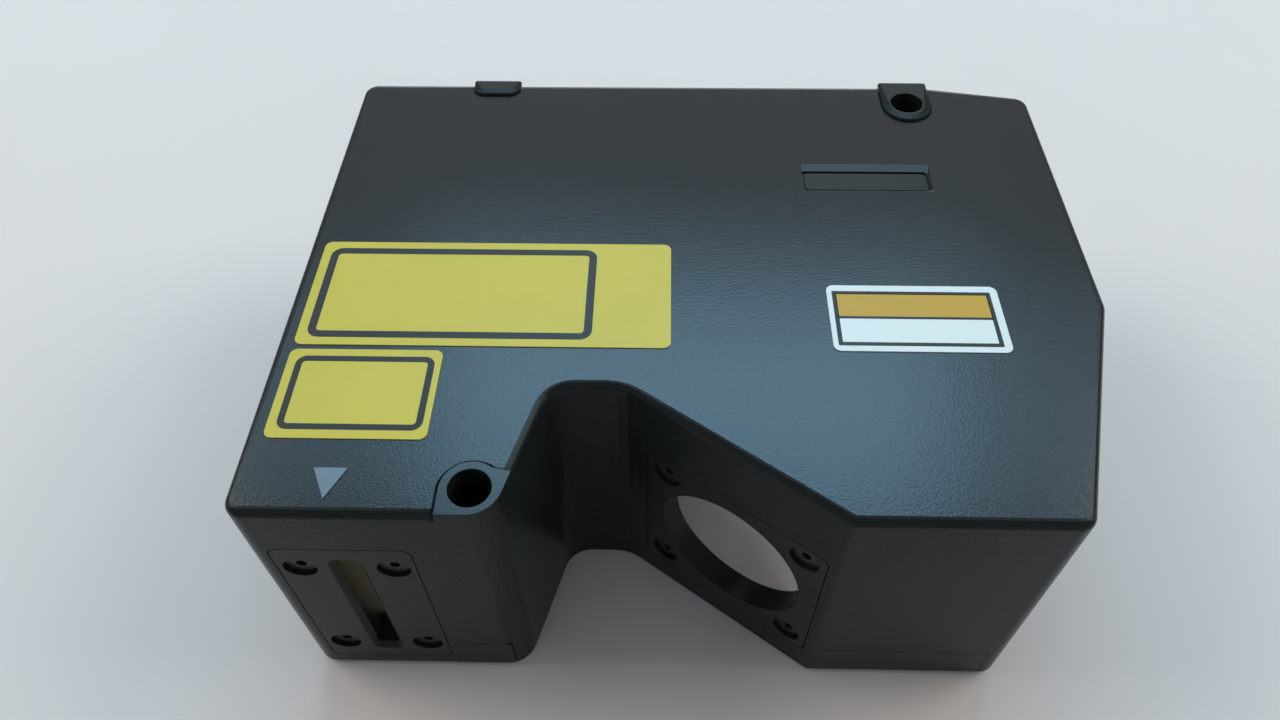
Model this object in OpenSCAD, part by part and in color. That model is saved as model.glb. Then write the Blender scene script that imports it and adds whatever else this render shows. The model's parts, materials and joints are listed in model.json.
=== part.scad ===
// Laser profile sensor head: a flat cast housing with a notch in its front.
// The light line leaves the left arm, and the slanted face right of the notch sees it.
// X is the width, Y runs from the front face to the back, Z stands up from the base.

/* [Body] */
// Width of the body along X
body_w = 95.5; // [90:0.5:110]
// Depth of the body along Y
body_d = 72; // [68:0.2:90]
// Height of the body with both covers
body_h = 38.4; // [37:0.2:44]
// Width of the left arm at the front
arm_w = 27.2; // [26.5:0.1:30]
// Lean of the notch's left wall away from the arm, in degrees
arm_slant = 15.6; // [10:0.2:18]
// Depth of the notch from the front face
notch_d = 16.4; // [15:0.2:20]
// Width of the flat back of the notch
notch_floor_w = 7.8; // [6:0.2:10]
// Angle of the slanted face to the front face, in degrees
face_angle = 35.3; // [32:0.1:38]
// Distance that the front right corner stands in from the right side
side_in = 9.1; // [6:0.1:12]
// Length along Y of the right side's slanted part
side_slant_d = 29.2; // [24:0.2:36]
// Length along X of the slope on the back right
back_slope_w = 14.4; // [8:0.2:15]
// Drop of that slope along Y
back_slope_d = 2.5; // [1:0.1:4]

/* [Outline corners] */
// Radius of the plain upright corners
corner_r = 2; // [1.6:0.1:2.5]
// Radius of the arm's corner at the notch
arm_r = 3.5; // [2.5:0.1:4]
// Radius of the notch's back left corner
notch_left_r = 3.5; // [2:0.1:5]
// Radius of the notch's back right corner
notch_right_r = 6; // [3:0.5:8]
// Radius of the edge between the slanted face and the front
face_edge_r = 1; // [0.9:0.1:1.5]
// Radius of the blunt corners on the right and the back
blunt_r = 3; // [2:0.5:5]

/* [Walls and covers] */
// Thickness of the housing's wall
wall = 3; // [2.6:0.1:3.6]
// Thickness of the wall behind the emission plate
emission_wall = 9.5; // [9:0.1:12]
// Thickness of the wall behind the receiver plate
receiver_wall = 9; // [8.5:0.1:11]
// Radius of the cavity's corners
cavity_r = 2; // [1.8:0.1:2.5]
// Thickness of the top cover
top_t = 1.1; // [1:0.1:1.5]
// Radius of the top cover's rounded edge
top_edge_r = 0.95; // [0.5:0.05:0.95]
// Height of the top cover's lip inside the cavity
lip_h = 1.2; // [0.8:0.1:2]
// Thickness of that lip
lip_t = 1.2; // [0.8:0.1:1.6]
// Thickness of the bottom cover
base_t = 1.6; // [1.5:0.1:2]
// Radius of the bottom cover's rounded edge
base_edge_r = 1.2; // [0.6:0.05:1.4]
// Height of the bottom cover's side flaps above the base
flap_h = 7; // [5:0.1:9]
// Thickness of the side flaps
flap_t = 0.6; // [0.5:0.05:0.8]
// Gap round the side flaps
flap_gap = 0.1; // [0.05:0.05:0.2]
// Gap at the ends of the side flaps
flap_end_gap = 0.04; // [0.02:0.02:0.2]
// Distance from a flap's end to the corner that it faces
flap_end = 0.8; // [0.4:0.1:2]
// Running clearance between loosely fitted pieces
fit_gap = 0.2; // [0.1:0.05:0.3]
// Width of the cover seals
seal_w = 0.9; // [0.7:0.05:1]
// Depth of the seal grooves
seal_d = 0.8; // [0.5:0.05:1.2]
// Distance of the seal grooves from the cavity
seal_in = 0.6; // [0.5:0.05:0.7]

/* [Left side] */
// Height of the low pads above the wall
pad_out = 0.4; // [0.2:0.05:0.8]
// Width of the low pads
pad_w = 7.9; // [6:0.1:9]
// Height of the low pads
pad_h = 13.6; // [8:0.2:20]
// Distance of the pads' top from the top cover
pad_drop = 0.4; // [0.2:0.1:2]
// Distance of the near pad's middle from the front face
pad_near_y = 22.2; // [18:0.2:26]
// Distance of the far pad's middle from the front face
pad_far_y = 49.5; // [44:0.5:54]
// Step of the left side flap outside the wall
flap_out = 0.3; // [0:0.05:0.35]

/* [Mounting lugs] */
// Diameter of the mounting holes
hole_d = 4.5; // [4.2:0.1:4.8]
// Place of the front hole from the left side
front_hole_x = 24.7; // [24:0.1:25.2]
// Place of the front hole from the front face
front_hole_y = 3.1; // [3:0.1:3.8]
// Radius of the front lug round its hole
front_lug_r = 3.15; // [3:0.05:3.4]
// Distance of the back hole from the right side
back_hole_right = 17.4; // [17:0.2:21]
// Distance of the back hole from the back face
back_hole_in = 4.7; // [4.2:0.1:5.4]
// Radius of the back lugs at their foot
back_lug_r = 3.4; // [3.2:0.05:3.8]
// Place of the plain back lug from the left side
plain_lug_x = 19.5; // [15:0.1:24]
// Distance of the plain lug's middle behind the back face
plain_lug_out = 0.5; // [0.1:0.1:1]
// Height of the lugs above the top cover
lug_rise = 0.5; // [0.1:0.05:0.8]
// Distance of the back lug's round end in front of its hole's middle
lug_forward = 0.3; // [0:0.05:0.4]
// Radius of the plain lug's corners
plain_lug_r = 1.6; // [1.2:0.1:3]
// Width of the slope on the back lugs' front edge
lug_slope_w = 0.85; // [0.4:0.05:0.9]
// Drop of that slope
lug_slope_h = 0.13; // [0.05:0.01:0.2]
// Width of the steep foot of that slope
lug_foot_w = 0.15; // [0.05:0.05:0.25]
// Drop of the foot
lug_foot_h = 0.25; // [0.1:0.05:0.35]
// Width of the small slope on the back lugs' sides
lug_side_w = 0.2; // [0.1:0.05:0.4]
// Gap between the front lug and the top cover
lug_gap = 0.4; // [0.15:0.05:0.5]
// Gap between a back lug and the top cover
back_lug_gap = 0.12; // [0.08:0.02:0.3]

/* [Emission window] */
// Place of the emission axis from the left side
beam_x = 10.1; // [10:0.1:11.2]
// Height of both optical axes above the base
axis_z = 17.1; // [17.1:0.1:18.4]
// Width of the emission plate
beam_plate_w = 15.1; // [14.5:0.1:15.4]
// Height of the emission plate
beam_plate_h = 28.1; // [27:0.1:28.4]
// Thickness of the emission plate
beam_plate_t = 2.5; // [2.3:0.1:3]
// Width of the light slot
slot_w = 2.5; // [1.5:0.1:3]
// Length of the light slot
slot_l = 22.3; // [18:0.1:23]
// Width of the slot's sloped edge
slot_edge_w = 0.65; // [0.3:0.05:0.8]
// Spacing of the emission screws along X
beam_screw_x = 10.2; // [9.8:0.1:10.6]
// Spacing of the emission screws along Z
beam_screw_z = 19.8; // [19:0.1:20.6]
// Width of the emission glass
beam_glass_w = 6; // [5.5:0.1:6.4]
// Height of the emission glass
beam_glass_h = 25; // [24.6:0.1:25.6]

/* [Receiver window] */
// Distance of the window's centre from the front edge, along the face
window_s = 13.1; // [12.6:0.1:13.6]
// Diameter of the window opening
window_d = 19.3; // [18:0.1:19.6]
// Width of the receiver plate
view_plate_w = 23.8; // [23.4:0.1:24.2]
// Height of the receiver plate
view_plate_h = 23.4; // [23:0.1:24]
// Thickness of the receiver plate
view_plate_t = 3.2; // [2.8:0.1:3.4]
// Thickness of that plate's lip in front of its glass
view_lip_t = 1.6; // [1.2:0.1:1.8]
// Spacing of the receiver screws, both ways
view_screw_s = 18.4; // [18:0.1:18.6]
// Diameter of the receiver glass
view_glass_d = 21; // [20.4:0.1:21.6]

/* [Window parts] */
// Radius of the plates' corners
plate_r = 1.2; // [0.8:0.1:1.5]
// Gap round a plate in its pocket
plate_gap = 0.12; // [0.05:0.01:0.2]
// Diameter of the screws' counterbores
sink_d = 3.7; // [3.5:0.05:3.8]
// Depth of the screws' counterbores
sink_h = 1.7; // [1.5:0.1:1.8]
// Thickness of the window glasses
glass_t = 1.6; // [1.2:0.1:2]
// Thickness of the seals behind the glasses
glass_seal_t = 0.8; // [0.5:0.05:1]
// Width of the seals behind the glasses
glass_seal_w = 1.2; // [0.8:0.05:1.4]

/* [Small screws] */
// Thread diameter of the plate screws
small_d = 2; // [1.8:0.1:2.2]
// Head diameter of the plate screws
small_head_d = 3.4; // [3:0.1:3.45]
// Head height of the plate screws
small_head_h = 1.15; // [0.9:0.05:1.3]
// Length of the plate screws under the head
small_l = 4.6; // [3.5:0.1:5]
// Thread diameter of the larger screws
big_d = 2.5; // [2.2:0.1:2.6]
// Head diameter of the larger screws
big_head_d = 4.6; // [4:0.1:4.8]
// Head height of the larger low-head screws
big_head_h = 1.4; // [1:0.1:1.6]
// Length of the cover screws, head included
cover_screw_l = 8; // [6:0.5:10]
// Length of the bench screws under the head
bench_screw_l = 6; // [5.5:0.1:6.2]
// Clearance between a thread and its hole, across
thread_gap = 0.1; // [0.05:0.01:0.15]
// Radius of the screw bosses
boss_r = 3; // [2.6:0.1:3.2]

/* [Optical bench] */
// Thickness of the bench plate
bench_t = 3; // [2.5:0.1:3.5]
// Gap between the bottom cover and the bench plate
bench_lift = 2; // [1.9:0.1:2.4]
// Outer diameter of the laser barrel
laser_d = 10; // [9:0.1:10.4]
// Wall of the laser barrel
laser_wall = 1; // [0.8:0.1:1.4]
// Length of the laser barrel
laser_l = 18; // [17:0.5:18.5]
// Width of the laser holder
holder_w = 13.2; // [12.4:0.1:13.6]
// Length of the laser holder
holder_l = 12; // [10:0.5:13]
// Outer diameter of the lens barrel
barrel_d = 17; // [16:0.1:18]
// Wall of the lens barrel
barrel_wall = 1.5; // [1.2:0.1:1.8]
// Length of the lens barrel
barrel_l = 21; // [20:0.5:22]
// Length of the cradle under the lens barrel
cradle_l = 12; // [10:0.5:13]
// Thickness of the strap over the lens barrel
strap_t = 0.8; // [0.6:0.05:1]
// Distance of the picture sensor behind the lens barrel
sensor_gap = 9; // [7:0.5:10]
// Tilt of the picture sensor, in degrees
sensor_tilt = 12; // [6:1:14]
// Width of the picture sensor's package
sensor_w = 14; // [12:0.5:16]
// Height of the picture sensor's package
sensor_h = 11; // [9:0.5:12]
// Width of the sensor board
sensor_board_w = 22; // [20:0.5:23]
// Height of the sensor board
sensor_board_h = 18; // [17:0.5:18.5]

/* [Main board] */
// Thickness of the circuit boards
board_t = 1.2; // [1:0.1:1.6]
// Clearance between the tallest part on the main board and the top cover
board_room = 2.1; // [0.5:0.1:3]
// Width of the main board
board_w = 46; // [42:0.5:47]
// Gap between the laser board and the main board's front edge
board_gap = 2.1; // [1.8:0.1:3]
// Distance of the main board from the cavity's left and back walls
board_in = 5.6; // [5.2:0.1:6]
// Width across the flats of the standoffs
standoff_w = 4.5; // [4:0.1:5]
// Distance of the standoffs from the board's edges
standoff_in = 3.2; // [3:0.1:4]
// Thickness of the flat flexible leads
flex_t = 0.3; // [0.2:0.05:0.5]

/* [Connector] */
// Place of the connector from the left side
port_x = 42; // [36:0.5:48]
// Height of the connector's axis above the base
port_z = 17.4; // [16:0.2:18]
// Outer diameter of the connector's shell
port_d = 12; // [11:0.1:12.6]
// Wall of the connector's shell
port_wall = 1.3; // [1:0.1:1.6]
// Length of the shell outside the back face
port_out = 5.2; // [4.5:0.1:6]
// Length of the shell inside the wall
port_in = 4; // [3.5:0.1:5]
// Thickness of the shell's inner flange
port_flange_t = 1.5; // [1.2:0.1:2]
// Width of the lock nut across its flats
port_nut_w = 16; // [15:0.1:17]
// Thickness of the lock nut
port_nut_t = 2.4; // [2:0.1:3]
// Diameter of the contact pins
pin_d = 0.8; // [0.6:0.05:0.9]

/* [Labels] */
// Thickness of the stuck-on labels
label_t = 0.12; // [0.1:0.01:0.2]
// Radius of the labels' corners
label_r = 0.9; // [0.5:0.1:1.5]
// Left edge of both yellow labels
label_left = 2; // [1.6:0.1:4]
// Width of the wide yellow label
wide_w = 42.8; // [40:0.2:44]
// Height of the wide yellow label
wide_h = 16.6; // [14:0.2:17]
// Distance of the wide label's near edge from the front
wide_y = 21.9; // [21.6:0.1:24]
// Width of the small yellow label
small_w = 17.3; // [15:0.1:18]
// Height of the small yellow label
small_h = 12.1; // [10:0.1:12.2]
// Distance of the small label's near edge from the front
small_y = 9.1; // [8.6:0.1:9.2]
// Width of the white label
white_w = 20; // [18:0.1:22]
// Height of the white label
white_h = 10.1; // [8:0.1:11]
// Distance of the white label's right edge from the right side
white_right = 12.4; // [10:0.2:14]
// Distance of the white label's near edge from the front
white_y = 21.8; // [20:0.2:24]
// Width of the pointer mark
pointer_w = 3.5; // [2.5:0.1:4]
// Length of the pointer mark
pointer_l = 3.65; // [2.5:0.05:4]
// Distance of the pointer's tip from the front
pointer_y = 1.85; // [1.65:0.05:3]
// Distance of the recess's right edge from the right side
name_right = 16.5; // [12:0.5:18]
// Distance of the recess's near edge from the front
name_y = 49; // [46:0.2:52]
// Width of the recess
name_w = 17; // [14:0.2:18]
// Height of the recess
name_h = 5.3; // [4:0.1:6]
// Depth of the recess
name_deep = 0.4; // [0.3:0.05:0.6]
// Width of the slope on the recess's far side
name_slope_w = 1.3; // [0.4:0.1:1.8]
// Width of the slope on its right side
name_side_w = 0.4; // [0.1:0.1:1]
// Drop of both slopes
name_slope_h = 0.17; // [0.05:0.01:0.25]
// Thickness of the name plate
name_plate_t = 0.2; // [0.1:0.05:0.25]

/* [Hidden] */

$fn = 64;
// Largest angle of one step along an outline's rounded corner
arc_step = 12;
// Length by which a cut runs past the face that it opens
past = 0.5;

// Heights
housing_top = body_h - top_t;
bench_z = base_t + bench_lift;
bench_top = bench_z + bench_t;
can_part_h = 4.4;
board_z = body_h - top_t - board_room - can_part_h - board_t;
board_lift = board_z - bench_top;
boss_gap = 1;
boss_top = housing_top - lip_h - boss_gap;
lug_top = body_h + lug_rise;

// Upright corners of the body, counter-clockwise from the front left
notch_left_x = arm_w + notch_d * tan(arm_slant);
notch_right_x = notch_left_x + notch_floor_w;
face_foot_x = notch_right_x + notch_d / tan(face_angle);
outline = [[0, 0], [arm_w, 0], [notch_left_x, notch_d], [notch_right_x, notch_d],
    [face_foot_x, 0], [body_w - side_in, 0], [body_w, side_slant_d],
    [body_w, body_d - back_slope_d], [body_w - back_slope_w, body_d], [0, body_d]];
outline_r = [corner_r, arm_r, notch_left_r, notch_right_r, face_edge_r, corner_r,
    blunt_r, corner_r, blunt_r, corner_r];
wall_list = [emission_wall, wall, wall, receiver_wall, wall, wall, wall, wall, wall, wall];

// Cavity: the outline moved in by each wall, with a bump round each back lug
back_hole_x = body_w - back_hole_right;
back_hole_y = body_d - back_hole_in;
back_lug_y = back_hole_y - lug_forward;
plain_lug_y = body_d + plain_lug_out;
bump_wall = 0.6;
bump_r = back_lug_r + back_lug_gap + seal_in + seal_w + bump_wall;
bump_turn_r = max(seal_in + seal_w, fit_gap + lip_t) + 0.2;
inner = inset_edges(outline, wall_list);
back_in_y = body_d - wall;
plain_bump_y = min(plain_lug_y - bump_r, back_in_y - 2 * bump_turn_r);
bump_right = back_hole_x + bump_r;
slope_in = (inner[7][1] - inner[8][1]) / (inner[7][0] - inner[8][0]);
cavity = [inner[0], inner[1], inner[2], inner[3], inner[4], inner[5], inner[6], inner[7],
    [bump_right, inner[7][1] + (bump_right - inner[7][0]) * slope_in],
    [bump_right, back_lug_y - bump_r],
    [back_hole_x - bump_r, back_lug_y - bump_r], [back_hole_x - bump_r, back_in_y],
    [plain_lug_x + bump_r, back_in_y], [plain_lug_x + bump_r, plain_bump_y],
    [plain_lug_x - bump_r, plain_bump_y], [plain_lug_x - bump_r, back_in_y],
    inner[9]];
plain_bump_first = 12;
plain_bump_last = 15;
cavity_rs = [for (i = [0:len(cavity) - 1])
    i < plain_bump_first || i > plain_bump_last ? cavity_r : bump_turn_r];

// Places of the screw bosses, each sunk a little into a wall of the cavity
boss_sink = 0.6;
boss_in = wall + boss_r - boss_sink;
boss_back_y = body_d - boss_in;
boss_notch_y = notch_d + boss_in;
left_boss_y = body_d * 0.55;
port_boss_gap = 10;
right_bosses_y = [side_slant_d + 4, side_slant_d + 24];
arm_boss_y = notch_d + 1.6;
cover_bosses = [[front_hole_x, emission_wall + boss_r - boss_sink], [boss_in, left_boss_y],
    [notch_left_x + boss_r + 0.5, boss_notch_y], [plain_lug_x - bump_r - boss_r - 2.2, boss_back_y],
    [port_x + port_d / 2 + port_boss_gap, boss_back_y], [body_w - boss_in, right_bosses_y[1]],
    [(inner[4][0] + inner[5][0]) / 2, boss_in]];
bench_bosses = [[arm_w + arm_boss_y * tan(arm_slant) - boss_in / cos(arm_slant), arm_boss_y],
    [notch_right_x + 5, boss_notch_y], [body_w - boss_in, right_bosses_y[0]],
    [plain_lug_x + bump_r + boss_r + 2, boss_back_y]];

// Middle of the receiver window on the slanted face
view_start = [face_foot_x - window_s * cos(face_angle), window_s * sin(face_angle)];

// Depths behind the plates
beam_glass_y = beam_plate_t;
view_glass_y = view_lip_t;
laser_y = emission_wall + 1;
barrel_y = receiver_wall + 1;
sensor_y = barrel_y + barrel_l + sensor_gap;

// Screws that stand in the bench plate, from below
holder_y = laser_y + 3;
holder_screws = [for (y = [3, holder_l - 3]) [beam_x, holder_y + y]];

// Laser parts
laser_bore = laser_d - 2 * laser_wall;
can_d = 4.7;
rim_d = 5.6;
rim_t = 1.2;
holder_top = laser_d / 2 + 4;
clamp_z = laser_d / 2 + 2.2;
clamp_slit = 1;
barrel_back_t = 2;
can_seat = 3;
can_h = 2.4;
collimator_y = 9;
line_lens_y = 0.6;
line_lens_t = 3.2;
line_lens_r = 6;
diode_pin_d = 0.45;
diode_pin_l = 5;
diode_pins = [for (a = [90, 210, 330]) 1.2 * [cos(a), sin(a)]];
laser_board_w = 16;
laser_board_shift = 3;
laser_board_low = 1.1;
laser_board_y = laser_y + laser_l + 2.4;

// Main board's corner nearest the front left, and its standoffs
board_x = wall + board_in;
board_y = laser_board_y + board_t + board_gap;
board_d = back_in_y - board_in - board_y;
standoffs = [for (x = [standoff_in, board_w - standoff_in], y = [standoff_in, board_d - standoff_in])
    [board_x + x, board_y + y]];

// Lens parts
barrel_bore = barrel_d - 2 * barrel_wall;
glass_d = barrel_bore - thread_gap;
cap_clear = barrel_bore - 2;
shoulder_y = 14;
ring_y = 0.6;
ring_t = 1.8;
filter_t = 1.2;
lens_rim = 2;
spacer_y = ring_y + ring_t + filter_t + lens_rim;
cradle_w = 26;
cradle_y = barrel_y + 4;
cradle_top = -2;
cradle_screw_x = 9.6;
strap_screw_x = 11.2;

// Sensor parts
sensor_t = 2;
bracket_t = 2.5;
bracket_w = sensor_board_w + 2;
bracket_y = sensor_t + board_t;
bracket_foot = 8;
bracket_foot_t = 3;
bracket_gap = 0.8;
bracket_limit = inset_edges(outline, [for (w = wall_list) w + bracket_gap]);
sensor_screw_x = 9;
sensor_screw_z = -5;

// Leads and the connector
lead_w = 5;
chip_x = 15;
chip_w = 13;
chip_t = 1.4;
memory_w = 10;
memory_h = 6;
memory_t = 1.1;
memory_step = 9;
memory_right = 4;
coil_w = 4.6;
coil_h = 2.8;
coil_step = 5.6;
can_part_d = 4.4;
board_r = 0.6;
board_screw_l = 6;
socket_h = 1.5;
socket_d = 3.5;
laser_lead_x = beam_x + laser_board_shift + 4.4;
lead_run = 6;
sensor_back = sensor_t + board_t;
lead_z = board_z + board_t + socket_h;
lead_turn = view_start + sensor_y * [sin(face_angle), cos(face_angle)]
    + (sensor_back + lead_run - lead_w / 2) * [sin(face_angle - sensor_tilt), cos(face_angle - sensor_tilt)];
insert_l = 6;
insert_in = 1.4;
pin_l = insert_l + 4.2;
pin_y = board_y + board_d + 0.6;

// Places of labels and the recess that are measured from the right side
white_x = body_w - white_right - white_w;
name_x = body_w - name_right - name_w;
name_r = 0.5;
name_plate_w = name_w - name_side_w;
name_plate_h = name_h - name_slope_w;

// Sockets and drill ends of the screws
socket_part = 0.65;
small_socket = 0.7;
big_socket = 1;
flush_socket = 0.8;
drill_end = 0.3;
short_end = 0.6;

function unit(v) = v / norm(v);
function turn(a, b, c) = let (u = unit(b - a), v = unit(c - b)) atan2(cross(u, v), u * v);
function inward(a, b) = let (u = unit(b - a)) [-u[1], u[0]];
// Where the line from a to b, moved in by p, meets the line from b to c, moved in by q
function inset_corner(a, b, c, p, q) =
    let (n = inward(a, b), m = inward(b, c), s = cross(n, m), np = n * b + p, mq = m * b + q)
    [(np * m[1] - mq * n[1]) / s, (mq * n[0] - np * m[0]) / s];
function inset_edges(points, moves) = let (n = len(points))
    [for (i = [0:n - 1]) inset_corner(points[(i + n - 1) % n], points[i], points[(i + 1) % n],
        moves[(i + n - 1) % n], moves[i])];
// Points of an outline with rounded corners, moved in by d
function rounded(points, radii, d = 0) = let (n = len(points))
    [for (i = [0:n - 1]) let (a = points[(i + n - 1) % n], b = points[i], c = points[(i + 1) % n],
        t = turn(a, b, c), side = sign(t), r = radii[i],
        middle = b + unit(unit(a - b) + unit(c - b)) * r / cos(t / 2),
        steps = ceil(abs(t) / arc_step), n1 = -inward(a, b) * side, start = atan2(n1[1], n1[0]))
        for (k = [0:steps]) let (w = start + t * k / steps)
            middle + (r - side * d) * [cos(w), sin(w)]];
function lower(points, z) = [for (p = points) [p[0], p[1], z]];
// Radii and heights of a quarter-round edge: how far in, and how high
function round_edge(r, steps) = [for (k = [0:steps]) let (a = 90 * k / steps)
    [r * (1 - cos(a)), r * sin(a)]];

// Moves what is drawn from the body's front left corner to the middle of its base
module placed() {
    translate([-(body_w - pad_out) / 2, -(body_d + port_out) / 2, 0]) children();
}

// Frame at the emission window: X across, Y into the body, Z up
module at_beam(y = 0) {
    translate([beam_x, y, axis_z]) children();
}

// Frame at the receiver window: X across, Y into the body, Z up
module at_view(y = 0) {
    translate([view_start[0], view_start[1], axis_z])
        rotate([0, 0, -face_angle]) translate([0, y, 0]) children();
}

// Cylinder that lies along Y, from y = 0 inwards
module rod(d, l) {
    rotate([-90, 0, 0]) cylinder(d = d, h = l);
}

// Tube that lies along Y
module tube(d, bore, l) {
    difference() {
        rod(d, l);
        translate([0, -past, 0]) rod(bore, l + 2 * past);
    }
}

// Upright block with rounded corners that faces Y, centred on X and Z
module tile(w, h, t, r) {
    rotate([90, 0, 0]) translate([0, 0, -t]) linear_extrude(t) plate_2d(w, h, r);
}

// Rectangle with rounded corners, centred
module plate_2d(w, h, r) {
    polygon(rounded([[-w / 2, -h / 2], [w / 2, -h / 2], [w / 2, h / 2], [-w / 2, h / 2]], [r, r, r, r]));
}

// Solid through a stack of round-cornered rings from the lowest up, each with as many points
module loft(rings) {
    n = len(rings[0]);
    m = len(rings);
    polyhedron([for (ring = rings) each ring],
        concat([[for (i = [0:n - 1]) i]], [[for (i = [n - 1:-1:0]) (m - 1) * n + i]],
            [for (j = [0:m - 2], i = [0:n - 1])
                [j * n + i, (j + 1) * n + i, (j + 1) * n + (i + 1) % n, j * n + (i + 1) % n]]));
}

// Closed band through rings whose profile runs up on its inner side and down on its outer side
module closed_sweep(rings) {
    n = len(rings[0]);
    m = len(rings);
    polyhedron([for (ring = rings) each ring], [for (j = [0:m - 1], i = [0:n - 1]) let (k = (j + 1) % m)
        [j * n + i, j * n + (i + 1) % n, k * n + (i + 1) % n, k * n + i]]);
}

// Upright prism of the body's outline, moved in by d
module body_prism(d, z, h) {
    translate([0, 0, z]) linear_extrude(h) polygon(rounded(outline, outline_r, d));
}

// Upright prism of the cavity, moved in by d
module cavity_prism(d, z, h) {
    translate([0, 0, z]) linear_extrude(h) polygon(rounded(cavity, cavity_rs, d));
}

module posts(places, r, z, h) {
    for (p = places) translate([p[0], p[1], z]) cylinder(r = r, h = h);
}

// Seal that runs round the cavity
module seal_ring(z, h, slack) {
    difference() {
        cavity_prism(-seal_in - seal_w + slack, z, h);
        cavity_prism(-seal_in - slack, z - past, h + 2 * past);
    }
}

// Front lug: a round eye that runs out past the notch's wall, grown by g
module front_lug_2d(g) {
    r = front_lug_r + g;
    tip_y = front_hole_y + 2;
    tip_x = arm_w + tip_y * tan(arm_slant);
    lean = 55;
    inside = r - 0.1;
    translate([front_hole_x, front_hole_y]) circle(r = r);
    polygon([[front_hole_x - r, -past], [arm_w + past, -past], [tip_x + past, tip_y + g],
        [front_hole_x + inside * cos(lean), front_hole_y + inside * sin(lean)],
        [front_hole_x - r, front_hole_y]]);
}

// Back lug: a raised eye that runs out past the back face, its front edge sloped more than its sides
module back_lug(x, y, corner) {
    levels = [[0, lug_slope_h + lug_foot_h], [lug_foot_w, lug_slope_h], [lug_foot_w + lug_slope_w, 0]];
    side_r = back_lug_r - lug_side_w;
    hull() {
        for (l = levels, s = [-1, 1])
            translate([x + s * (back_lug_r - corner), y - back_lug_r + corner, housing_top])
                cylinder(r = corner - l[0], h = lug_top - l[1] - housing_top);
        translate([x - back_lug_r, body_d, housing_top])
            cube([2 * back_lug_r, past, lug_top - lug_side_w - housing_top]);
        translate([x - side_r, body_d, housing_top]) cube([2 * side_r, past, lug_top - housing_top]);
    }
}

// Cut-out of the top cover round a back lug
module back_lug_cut(x, y, corner) {
    r = back_lug_r + back_lug_gap;
    c = corner + back_lug_gap;
    side = back_lug_r - corner;
    h = top_t + 2 * past;
    for (s = [-1, 1]) translate([x + s * side, y - r + c, housing_top - past]) cylinder(r = c, h = h);
    if (side > 0) translate([x - side, y - r, housing_top - past]) cube([2 * side, c, h]);
    translate([x - r, y - r + c, housing_top - past]) cube([2 * r, body_d - y + r - c + past, h]);
}

// Side flap along edge i of the outline, reaching out by far, and grown by g, or by e at its ends
module flap(i, from, to, far, g, e) {
    a = outline[i];
    b = outline[(i + 1) % len(outline)];
    translate([a[0], a[1], base_t]) rotate([0, 0, atan2(b[1] - a[1], b[0] - a[0])])
        translate([from - e, -far, 0])
            cube([norm(b - a) - from - to + 2 * e, far + flap_t + g, flap_h - base_t + g]);
}

// Side flaps of the bottom cover, flush with the walls but for the left one
module flaps(far, left_far, g, e) {
    end = corner_r + flap_end;
    flap(0, beam_x + beam_plate_w / 2 + flap_end, 2 * flap_end, far, g, e);
    flap(4, flap_end, corner_r, far, g, e);
    for (i = [5, 6, 8]) flap(i, end, end, far, g, e);
    flap(9, end, end, left_far, g, e);
}

// Low pads on the left side
module side_pads() {
    for (y = [pad_near_y, pad_far_y]) translate([-pad_out, y - pad_w / 2, housing_top - pad_drop - pad_h])
        cube([pad_out + wall / 2, pad_w, pad_h]);
}

// Pocket for a window plate, with its glass, seal and screws
module plate_pocket(w, h, t, sx, sz) {
    translate([0, -past, 0]) tile(w + 2 * plate_gap, h + 2 * plate_gap, t + past, plate_r);
    for (x = [-sx, sx] / 2, z = [-sz, sz] / 2) translate([x, t - past, z])
        rod(small_d + thread_gap, small_l - t + sink_h + past + drill_end);
}

module housing() {
    color([0.16, 0.17, 0.18]) placed() difference() {
        union() {
            body_prism(0, base_t, housing_top - base_t);
            intersection() {
                union() {
                    translate([0, 0, housing_top]) linear_extrude(lug_top - housing_top) front_lug_2d(0);
                    back_lug(back_hole_x, back_lug_y, back_lug_r);
                    back_lug(plain_lug_x, plain_lug_y, plain_lug_r);
                }
                body_prism(0, housing_top, lug_top - housing_top);
            }
            side_pads();
        }
        difference() {
            cavity_prism(0, base_t - past, body_h);
            posts(cover_bosses, boss_r, base_t, boss_top - base_t);
            posts(bench_bosses, boss_r, bench_top, boss_top - bench_top);
        }
        posts(cover_bosses, (big_d + thread_gap) / 2, base_t - past, cover_screw_l);
        posts(bench_bosses, (big_d + thread_gap) / 2, bench_top - past, bench_screw_l);
        seal_ring(housing_top - seal_d, seal_d + past, -0.05);
        seal_ring(base_t - past, seal_d + past, -0.05);
        flaps(past, past, flap_gap, flap_end_gap);
        at_beam() plate_pocket(beam_plate_w, beam_plate_h, beam_plate_t, beam_screw_x, beam_screw_z);
        at_beam(beam_glass_y - past)
            tile(beam_glass_w + fit_gap, beam_glass_h + fit_gap, glass_t + glass_seal_t + past, 1);
        at_beam(beam_glass_y) tile(beam_glass_w - 2 * glass_seal_w, beam_glass_h - 2 * glass_seal_w,
            emission_wall - beam_glass_y + past, 1);
        at_view() plate_pocket(view_plate_w, view_plate_h, view_plate_t, view_screw_s, view_screw_s);
        at_view(view_glass_y - past) rod(view_glass_d + fit_gap, glass_t + glass_seal_t + past);
        at_view(view_glass_y) rod(view_glass_d - 3.2 * glass_seal_w, receiver_wall - view_glass_y + 3);
        translate([front_hole_x, front_hole_y, -past]) cylinder(d = hole_d, h = lug_top + 2 * past);
        translate([back_hole_x, back_hole_y, -past]) cylinder(d = hole_d, h = lug_top + 2 * past);
        translate([port_x, back_in_y - past, port_z]) rod(port_d + fit_gap, wall + 2 * past);
    }
}

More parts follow.
